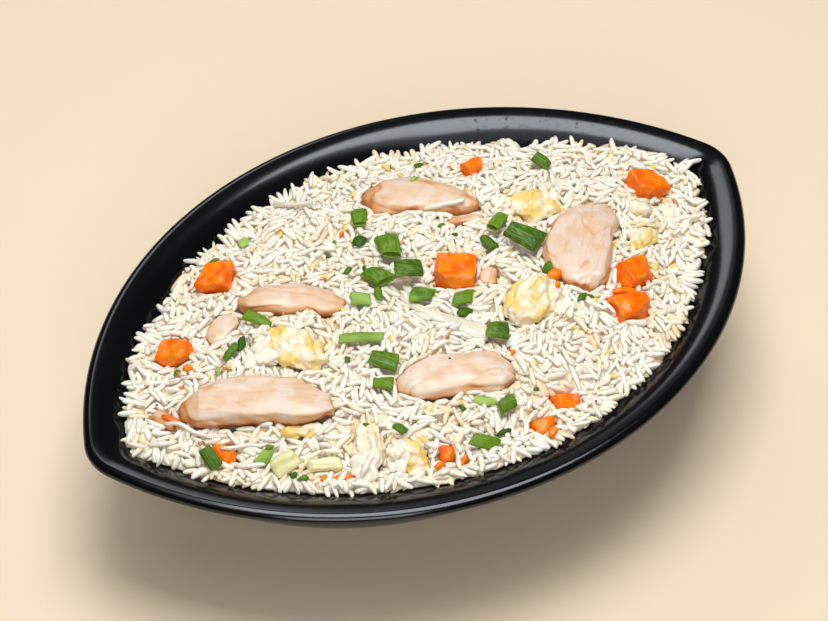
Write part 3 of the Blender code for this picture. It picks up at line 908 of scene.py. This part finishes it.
# Small bits lying on the rice: x, y, length, width and turn.
LEAF_SCRAPS = (
    (-8, 35, 6, 5, 20), (4, -21, 6, 5, -39), (-19, 5, 8, 3, -112), (-49, -54, 6, 3.5, -55), (-76, 14, 8, 3, -124),
    (47, -39, 5, 3, 40), (-21, 24, 4.5, 2, 15), (-15, 21, 2.5, 1.5, 60), (24, 24, 3, 1.5, -30), (25, 16, 2.5, 2, 80),
    (71, 39, 3.5, 1.8, 10), (5, -66, 2.5, 2, 45), (-24, -59, 2.5, 2, -20), (-48, -17, 4, 2, 70), (-90, -51, 4, 2, -35),
    (-16, 41, 2.5, 1.5, 30), (-22, 36, 3, 1.5, 100), (-59, -46, 2, 1.5, 0), (-102, 19, 5, 2.5, 55), (41, 64, 5, 3, -15),
    (-16, -74, 6, 2, -10), (-60, 60, 4, 1.8, -40), (-92, -48, 3, 2, 20), (50, -40, 4, 2, -70), (-93, -33, 3, 2, 15),
    (45, -20, 5.5, 5, 30),
)
PALE_SCRAPS = ((-42, 68, 6, 4.5, 10), (-15, -60, 10, 4, -44), (-90, 8, 4, 2, 60), (30, 52, 4, 2, 10))
CARROT_SCRAPS = (
    (65, -45, 14, 3, -22), (-115, -1, 11, 2, -60), (-46, -75, 5, 2, 0), (44, -25, 6, 4, 20), (-98, 17, 3.5, 2.5, 0),
    (-83, -54, 3, 2, 30), (-11, 43, 2.5, 1.5, 0), (-2, -86, 5, 3, 15), (40, -32, 3, 2, 60), (7, -48, 2.5, 1.5, 20),
)
EGG_SCRAPS = (
    (-33, -68, 8, 3.5, 24), (26, 2, 5, 3.5, 0), (-60, -71, 4.5, 2, 10), (-53, -71, 6, 3, -20), (30, -71, 3.5, 2.5, 0),
    (100, -10, 6, 3, -25), (-28, -67, 5, 3, 0), (-87, 38, 5, 3, 80), (12, 27, 4.5, 3, 0), (118, -13, 4, 3, 0),
    (9, 73, 4, 2, 0), (-5, 49, 4, 2.5, 0), (-29, 35, 7, 3, 20),
)
WHITE_SCRAPS = (
    (-74, 5, 13, 9, 30), (-68, 13, 10, 8, 80), (-50, 10, 8, 6, 10), (73, 17, 10, 8, 40), (50, 20, 9, 7, 0),
    (-68, -60, 11, 8, 20), (-56, -63, 9, 7, 60), (109, -17, 10, 7, 50), (117, -25, 8, 5, 20), (38, -40, 9, 6, 30),
)
ONION_SCRAPS = (
    (-113, -8, 19, 1.6, -57), (-101, -26, 16, 1.6, -32), (-115, 31, 16, 2, 70), (115, -33, 9, 2, 60),
    (56, -67, 8, 2.5, 20), (31, 32, 18, 2.4, -20), (-72, 38, 9, 3, 35), (-20, 66, 12, 2, -60),
)
PEPPER = (
    (-7, 64), (-65, -25), (-87, -26), (-115, 12), (-99, -40), (92, 1), (8, -72), (21, -82), (9, -84), (-14, -85),
    (40, -60), (-24, -20), (-16, -39), (44, 53), (75, 45), (-30, 73), (26, -44), (22, -57), (41, -78),
)


def inside_rim(x, y):
    """How far a point lies in from the arc of the bowl's long side."""
    return SIDE_RADIUS - math.hypot(x, abs(y) + SIDE_CENTRE)


def surfaces():
    """What a scrap can lie on: every finished piece, ready for rays."""
    graph = bpy.context.evaluated_depsgraph_get()
    endings = ("_cooked", "_diced", "_cut", "_soft", "leaf_bowl")
    found = [o for o in bpy.data.objects if o.name.endswith(endings) or o.name.startswith("rice_")]
    return [(o.name.startswith("rice_"), BVHTree.FromObject(o, graph)) for o in found if o.name != "rice_heap"]


def top_at(trees, x, y):
    start = Vector((x * MM, y * MM, 0.2))
    hits = [(tree.ray_cast(start, Vector((0, 0, -1)))[0], is_rice) for is_rice, tree in trees]
    height, on_rice = max((hit.z, is_rice) for hit, is_rice in hits if hit)
    return height / MM, on_rice


def lie(trees, x, y, length, turn):
    """A frame lying on whatever is under both ends and the middle."""
    c, s = math.cos(turn), math.sin(turn)
    ends = [top_at(trees, x + k * length * c, y + k * length * s)[0] for k in (-0.35, 0.0, 0.35)]
    slope = (ends[2] - ends[0]) / (0.7 * length)
    height = max((ends[0] + ends[2]) / 2, ends[1])
    slope = max(-0.6, min(0.6, slope))
    turned = Euler((0.0, -math.atan(slope), turn), "XYZ").to_matrix().to_4x4()
    return Matrix.Translation((x * MM, y * MM, height * MM)) @ turned


def scrap_box(length, width, thick, cuts, slant, bend, rough, seed):
    """A small slab: slanted like a cut leaf, bent along its length and never quite even."""
    bm = bmesh.new()
    bmesh.ops.create_cube(bm, size=1.0)
    bmesh.ops.subdivide_edges(bm, edges=bm.edges, cuts=cuts, use_grid_fill=True)
    for vert in bm.verts:
        x, y, z = vert.co
        narrow = 1.0 - 0.35 * abs(2 * y) ** 3 * 0.3 - 0.25 * abs(2 * z)
        x, y = x * narrow, y * (1.0 - 0.25 * abs(2 * x) ** 3)
        swing = noise.noise(Vector((x * 2.0, seed * 3.1, 0.5))) * length * 0.12
        vert.co = Vector((x * length + slant * y * width, y * width + swing, z * thick + bend * (0.25 - x * x - y * y)))
        push = noise.noise(vert.co / (0.3 * width) + Vector((seed * 5.3, 0.0, 0.0)))
        vert.co += vert.co.normalized() * push * rough
    bm.normal_update()
    return bm


def scrap_lump(length, width, thick, rough, seed, rounds=2):
    """A small rounded crumb."""
    bm = bmesh.new()
    bmesh.ops.create_icosphere(bm, subdivisions=rounds, radius=0.5)
    for vert in bm.verts:
        push = 1.0 + rough * noise.noise(vert.co * 3.4 + Vector((seed * 2.7, 0.0, 4.0)))
        vert.co = Vector((vert.co.x * length, vert.co.y * width, vert.co.z * thick)) * push
    return bm


def joined_scraps(name, scraps, look, brown=0.0):
    """One piece from many small shapes, each with its matrix in the frame and its tone."""
    whole = bmesh.new()
    layer = whole.verts.layers.float.new("tone")
    for bm, matrix, tone in scraps:
        bmesh.ops.scale(bm, vec=(MM, MM, MM), verts=bm.verts)
        bmesh.ops.transform(bm, matrix=matrix, verts=bm.verts)
        bmesh.ops.recalc_face_normals(bm, faces=bm.faces)
        part = mesh_from(bm, "scrap")
        first = len(whole.verts)
        whole.from_mesh(part)
        whole.verts.ensure_lookup_table()
        for vert in whole.verts[first:]:
            vert[layer] = tone
        bpy.data.meshes.remove(part)
    mesh = mesh_from(whole, name)
    for extra in ("inside", "veins", "hollow", "strands", "fibre", "run", "side"):
        store(mesh, extra, np.zeros(len(mesh.vertices)))
    store(mesh, "brown", np.full(len(mesh.vertices), brown))
    link(name, mesh, look)
    return mesh


def pepper_look():
    look = Look("ground_pepper")
    colour = look.mix(look.clouds(0.0008, 2.0), rgba((38, 28, 20)), rgba((92, 66, 40)))
    return look.finish(Base_Color=colour, Roughness=0.7 + look.clouds(0.002) * 0.1)


def water_look():
    look = Look("water")
    rough = 0.03 + look.clouds(0.002) * 0.03
    return look.finish(Base_Color=(1.0, 1.0, 1.0, 1.0), Roughness=rough, Transmission_Weight=1.0, IOR=1.33)


def build_scraps(scene_settings):
    settings = scene_settings.scraps
    rng = np.random.default_rng(settings.seed)
    trees = surfaces()
    leaf, carrot = leaf_look(scene_settings.vegetables), carrot_look(scene_settings.vegetables)
    onion, egg = onion_look(scene_settings.vegetables), egg_look("egg_scraps", scene_settings.egg, 0.0)

    def placed(x, y, length, turn, lift):
        return lie(trees, x, y, length, math.radians(turn)) @ Matrix.Translation((0, 0, lift * MM))

    pieces = []
    for seed, (x, y, length, width, turn) in enumerate(LEAF_SCRAPS):
        bm = scrap_box(length, width, 0.8, 3, 0.5 * math.sin(seed), 1.5 + math.sin(seed * 2), 0.12, seed)
        pieces.append((bm, placed(x, y, length, turn, 0.2), rng.uniform(0.1, 1.0)))
    for seed, (x, y, length, width, turn) in enumerate(PALE_SCRAPS):
        bm = scrap_box(length, width, 1.0, 3, 0.2, 2.0, 0.15, seed + 40)
        pieces.append((bm, placed(x, y, length, turn, 0.2), 1.6))
    joined_scraps("leaf_scraps", pieces, leaf)

    pieces = []
    for seed, (x, y, length, width, turn) in enumerate(CARROT_SCRAPS):
        bm = scrap_box(length, width, min(width, 3.0), 3, 0.3 * math.cos(seed), 0.8, 0.35, seed + 70)
        pieces.append((bm, placed(x, y, length, turn, 0.5), 0.5))
    joined_scraps("carrot_scraps", pieces, carrot)

    pieces = []
    for seed, (x, y, length, width, turn) in enumerate(ONION_SCRAPS):
        bm = scrap_box(length, width, 1.0, 5, 0.2, 1.6, 0.15, seed + 90)
        pieces.append((bm, placed(x, y, length, turn, 0.4), 0.5))
    joined_scraps("onion_scraps", pieces, onion)

    pieces = []
    spots = list(EGG_SCRAPS)
    while len(spots) < settings.crumbs:
        x, y = rng.uniform(-125, 125), rng.uniform(-85, 85)
        inside = inside_rim(x, y)
        if inside > 22.0 and top_at(trees, x, y)[1] and rng.uniform() < 0.5 + noise.noise(Vector((x, y, 9.0)) / 22.0):
            length = rng.uniform(1.6, 4.2)
            spots.append((x, y, length, length * rng.uniform(0.5, 0.9), rng.uniform(0, 180)))
    for seed, (x, y, length, width, turn) in enumerate(spots):
        bm = scrap_lump(length, width, 0.7 * width, 0.7, seed)
        pieces.append((bm, placed(x, y, length, turn, -0.3), rng.uniform()))
    for seed, (x, y, length, width, turn) in enumerate(WHITE_SCRAPS):
        bm = scrap_lump(length, width, 4.5, 1.1, seed + 500, 4)
        pieces.append((bm, placed(x, y, length, turn, 0.2), 0.15))
    mesh = joined_scraps("egg_scraps", pieces, egg)
    tone = np.empty(len(mesh.vertices), dtype=np.float32)
    mesh.attributes["tone"].data.foreach_get("value", tone)
    store(mesh, "yolk", tone)

    pieces = []
    while len(pieces) < settings.browned:
        x, y = rng.uniform(-120, 120), rng.uniform(-80, 80)
        inside = inside_rim(x, y)
        if inside > 24.0 and top_at(trees, x, y)[1] and noise.noise(Vector((x, y, 2.0)) / 30.0) > -0.1:
            length = rng.uniform(1.2, 3.4)
            bm = scrap_lump(length, length * rng.uniform(0.4, 0.9), 0.5 * length, 0.9, len(pieces) + 300)
            pieces.append((bm, placed(x, y, length, rng.uniform(0, 180), -0.4), 0.5))
    joined_scraps("browned_scraps", pieces, chicken_look(scene_settings.chicken), 0.95)

    pieces = []
    for seed, (x, y) in enumerate(PEPPER):
        size = 0.7 + 0.5 * abs(math.sin(seed * 1.7))
        bm = scrap_lump(size, size * 0.8, size * 0.6, 0.8, seed, 1)
        pieces.append((bm, placed(x, y, size, seed * 40, 0.1), 0.5))
    joined_scraps("pepper_specks", pieces, pepper_look())

    bowl = BVHTree.FromObject(bpy.data.objects["leaf_bowl"], bpy.context.evaluated_depsgraph_get())
    pieces = []
    while len(pieces) < settings.drops:
        x, y = rng.normal(88, 22), rng.normal(52, 18)
        inset = inside_rim(x, y)
        if not (4.0 < inset < 17.0 and y > 8.0):
            continue
        place, normal, _, _ = bowl.ray_cast(Vector((x * MM, y * MM, 0.2)), Vector((0, 0, -1)))
        size = min(0.35 + rng.exponential(0.25), 1.5)
        bm = scrap_lump(size, size * rng.uniform(0.8, 1.0), size * 0.55, 0.15, len(pieces), 1)
        frame_here = Matrix.Translation(place) @ normal.to_track_quat("Z", "Y").to_matrix().to_4x4()
        pieces.append((bm, frame_here, 0.5))
    joined_scraps("water_drops", pieces, water_look())


# ---------------------------------------------------------------- the stage


def build_stage(settings):
    bm = bmesh.new()
    bmesh.ops.create_grid(bm, x_segments=8, y_segments=8, size=2.5)
    mesh = mesh_from(bm, "table_top")
    look = Look("cream_table")
    soft = look.clouds(0.25, 2.0)
    colour = look.mix(soft, rgba(settings.table), rgba(settings.table_shade))
    look.finish(Base_Color=colour, Roughness=0.6 + look.clouds(0.01, 2.0) * 0.1)
    table = bpy.data.objects.new("table_top", mesh)
    bpy.context.scene.collection.objects.link(table)
    mesh.materials.append(look.material)

    world = bpy.data.worlds.new("studio")
    bpy.context.scene.world = world
    world.use_nodes = True
    world.node_tree.nodes["Background"].inputs["Color"].default_value = (1.0, 1.0, 1.0, 1.0)
    world.node_tree.nodes["Background"].inputs["Strength"].default_value = settings.fill

    for name, place, aim, size, power in (
        ("overhead_softbox", (0.12, 0.1, 1.3), (0.0, 0.0, 0.05), 0.72, settings.overhead),
        ("wide_softbox", (-0.1, -0.1, 1.5), (0.0, 0.0, 0.05), 1.2, settings.wide),
        ("key_softbox", (0.35, 1.1, 0.95), (0.0, 0.0, 0.05), 0.5, settings.key),
        ("front_softbox", (-0.8, -1.2, 1.1), (0.0, 0.0, 0.05), 0.9, settings.front),
    ):
        lamp = bpy.data.lights.new(name, "AREA")
        lamp.shape = "SQUARE"
        lamp.size = size
        lamp.energy = power
        made = bpy.data.objects.new(name, lamp)
        made.location = place
        made.rotation_euler = (Vector(place) - Vector(aim)).to_track_quat("Z", "Y").to_euler()
        bpy.context.scene.collection.objects.link(made)

    turn, rise, distance = math.radians(-34.7), math.radians(45.0), 0.963
    aim = Vector((0.0, 0.0, BOWL_HIGH[2]))
    back = Vector((math.sin(turn) * math.cos(rise), -math.cos(turn) * math.cos(rise), math.sin(rise)))
    camera = bpy.data.cameras.new("camera")
    camera.lens = 106.8
    camera.sensor_width = 36.0
    camera.shift_x = -0.0145
    camera.shift_y = -0.0192
    camera.clip_start = 0.01
    made = bpy.data.objects.new("camera", camera)
    made.location = aim + back * distance
    made.rotation_euler = back.to_track_quat("Z", "Y").to_euler()
    bpy.context.scene.collection.objects.link(made)
    bpy.context.scene.camera = made
    bpy.context.scene.view_settings.view_transform = "Standard"


# ---------------------------------------------------------------- the add-on


def colour_property(name, description, default):
    return FloatVectorProperty(name=name, description=description, default=default, size=3, min=0, max=255)


class BowlSettings(bpy.types.PropertyGroup):
    side_steps: IntProperty(name="Side steps", description="Steps along each side of the leaf", default=64)
    tip_steps: IntProperty(name="Tip steps", description="Steps round each tip of the leaf", default=10)


class ChickenSettings(bpy.types.PropertyGroup):
    pale: colour_property("Pale", "Cooked breast", (226, 193, 160))
    pink: colour_property("Pink", "Cooked breast, pinker", (230, 208, 190))
    # Tan and seared are also painted as shade on the sides, undersides and creases of the chicken.
    tan: colour_property("Tan", "Lightly fried", (220, 158, 98))
    seared: colour_property("Seared", "Browned edges", (184, 104, 44))


class EggSettings(bpy.types.PropertyGroup):
    white: colour_property("White", "Cooked egg white", (246, 236, 216))
    yellow: colour_property("Yellow", "Scrambled yolk", (242, 212, 134))
    # Golden is also painted as shade in the hollows between the curds of egg.
    golden: colour_property("Golden", "Yolk in the folds", (240, 200, 96))


class VegetableSettings(bpy.types.PropertyGroup):
    carrot: colour_property("Carrot", "Cut carrot", (250, 106, 2))
    carrot_light: colour_property("Light carrot", "Wet, light carrot", (254, 136, 14))
    carrot_deep: colour_property("Deep carrot", "Carrot in shade", (228, 66, 2))
    leaf_dark: colour_property("Dark leaf", "Outer leaf", (30, 76, 0))
    leaf: colour_property("Leaf", "Mid leaf", (98, 136, 4))
    leaf_pale: colour_property("Pale leaf", "Pale stem", (170, 198, 104))
    leaf_inside: colour_property("Inside", "Inside of the leaf", (140, 176, 62))
    onion: colour_property("Onion", "Soft onion", (236, 228, 212))
    cabbage: colour_property("Cabbage", "Fried cabbage", (232, 228, 178))
    cabbage_rib: colour_property("Cabbage ribs", "Ribs of cabbage", (214, 210, 148))
    onion_deep: colour_property("Onion veins", "Veins of soft onion", (222, 210, 184))


class RiceSettings(bpy.types.PropertyGroup):
    seed: IntProperty(name="Seed", description="Changes how the grains fall", default=7)
    depth: FloatProperty(name="Depth", description="Depth of loose grains, in mm", default=2.6)
    tumble: FloatProperty(name="Tumble", description="How steeply grains stand, as a slope", default=0.36)
    lumpiness: FloatProperty(name="Lumpiness", description="Height of clumps of rice, in mm", default=1.9)
    leaning: IntProperty(name="Leaning", description="Grains tried against the other pieces", default=420)
    tries: IntProperty(name="Tries", description="Grains tried in each pass", default=16000)
    rice: colour_property("Rice", "Cooked rice", (247, 238, 224))
    # Warm and oiled rice are also painted as shade on the grains lying deeper in the heap.
    rice_warm: colour_property("Warm rice", "Rice with a little oil", (243, 224, 192))
    rice_oiled: colour_property("Oiled rice", "Rice stained by the wok", (232, 196, 144))


class ScrapSettings(bpy.types.PropertyGroup):
    seed: IntProperty(name="Seed", description="Changes where the egg crumbs lie", default=3)
    drops: IntProperty(name="Drops", description="How many drops of water on the far wall", default=170)
    browned: IntProperty(name="Browned", description="How many browned crumbs of chicken", default=60)
    crumbs: IntProperty(name="Crumbs", description="How many egg crumbs", default=170)


class StageSettings(bpy.types.PropertyGroup):
    table: colour_property("Table", "Cream table", (240, 221, 193))
    table_shade: colour_property("Table shade", "Cream table, darker", (237, 216, 187))
    fill: FloatProperty(name="Fill", description="Strength of the light all round", default=0.06)
    overhead: FloatProperty(name="Overhead", description="Overhead softbox", default=12.2, unit="POWER")
    wide: FloatProperty(name="Wide", description="Wide softbox overhead", default=4.0, unit="POWER")
    key: FloatProperty(name="Key", description="Softbox behind", default=2.4, unit="POWER")
    front: FloatProperty(name="Front", description="Softbox in front", default=12.0, unit="POWER")


SETTINGS = (
    ("bowl", BowlSettings),
    ("chicken", ChickenSettings),
    ("egg", EggSettings),
    ("vegetables", VegetableSettings),
    ("rice", RiceSettings),
    ("scraps", ScrapSettings),
    ("stage", StageSettings),
)


class PlateSettings(bpy.types.PropertyGroup):
    bowl: PointerProperty(type=BowlSettings)
    chicken: PointerProperty(type=ChickenSettings)
    egg: PointerProperty(type=EggSettings)
    vegetables: PointerProperty(type=VegetableSettings)
    rice: PointerProperty(type=RiceSettings)
    scraps: PointerProperty(type=ScrapSettings)
    stage: PointerProperty(type=StageSettings)


class FRIEDRICE_OT_bowl(bpy.types.Operator):
    """Make the leaf-shaped bowl"""

    bl_idname = "friedrice.bowl"
    bl_label = "Bowl"

    def execute(self, context):
        build_bowl(context.scene.fried_rice.bowl)
        return {"FINISHED"}


class FRIEDRICE_OT_chicken(bpy.types.Operator):
    """Make the strips of chicken"""

    bl_idname = "friedrice.chicken"
    bl_label = "Chicken"

    def execute(self, context):
        build_chicken(context.scene.fried_rice.chicken)
        return {"FINISHED"}


class FRIEDRICE_OT_egg(bpy.types.Operator):
    """Make the scrambled egg"""

    bl_idname = "friedrice.egg"
    bl_label = "Egg"

    def execute(self, context):
        build_egg(context.scene.fried_rice.egg)
        return {"FINISHED"}


class FRIEDRICE_OT_vegetables(bpy.types.Operator):
    """Make the carrot, spring onion, onion and cabbage"""

    bl_idname = "friedrice.vegetables"
    bl_label = "Vegetables"

    def execute(self, context):
        settings = context.scene.fried_rice.vegetables
        build_carrots(settings)
        build_spring_onions(settings)
        build_onion(settings)
        return {"FINISHED"}


class FRIEDRICE_OT_rice(bpy.types.Operator):
    """Pour the grains of rice round the other pieces"""

    bl_idname = "friedrice.rice"
    bl_label = "Rice"

    def execute(self, context):
        build_rice(context.scene.fried_rice.rice)
        return {"FINISHED"}


class FRIEDRICE_OT_scraps(bpy.types.Operator):
    """Strew scraps of leaf, carrot, onion and egg, and specks of pepper"""

    bl_idname = "friedrice.scraps"
    bl_label = "Scraps"

    def execute(self, context):
        build_scraps(context.scene.fried_rice)
        return {"FINISHED"}


class FRIEDRICE_OT_stage(bpy.types.Operator):
    """Set the table, the lamps and the camera"""

    bl_idname = "friedrice.stage"
    bl_label = "Stage"

    def execute(self, context):
        build_stage(context.scene.fried_rice.stage)
        return {"FINISHED"}


OPERATORS = (FRIEDRICE_OT_bowl, FRIEDRICE_OT_chicken, FRIEDRICE_OT_egg, FRIEDRICE_OT_vegetables,
             FRIEDRICE_OT_rice, FRIEDRICE_OT_scraps, FRIEDRICE_OT_stage)


class FRIEDRICE_PT_panel(bpy.types.Panel):
    """The plate's steps and settings"""

    bl_label = "Fried rice plate"
    bl_idname = "FRIEDRICE_PT_panel"
    bl_space_type = "VIEW_3D"
    bl_region_type = "UI"
    bl_category = "Fried rice"

    def draw(self, context):
        for operator in OPERATORS:
            self.layout.operator(operator.bl_idname)
        for name, _ in SETTINGS:
            group = getattr(context.scene.fried_rice, name)
            box = self.layout.box()
            for key in type(group).__annotations__:
                box.prop(group, key)


CLASSES = tuple(group for _, group in SETTINGS) + (PlateSettings,) + OPERATORS + (FRIEDRICE_PT_panel,)


def register():
    for made in CLASSES:
        bpy.utils.register_class(made)
    bpy.types.Scene.fried_rice = PointerProperty(type=PlateSettings)


def unregister():
    del bpy.types.Scene.fried_rice
    for made in reversed(CLASSES):
        bpy.utils.unregister_class(made)


def main():
    register()
    for operator in OPERATORS:
        getattr(bpy.ops.friedrice, operator.bl_idname.split(".")[1])()


if __name__ == "__main__":
    main()
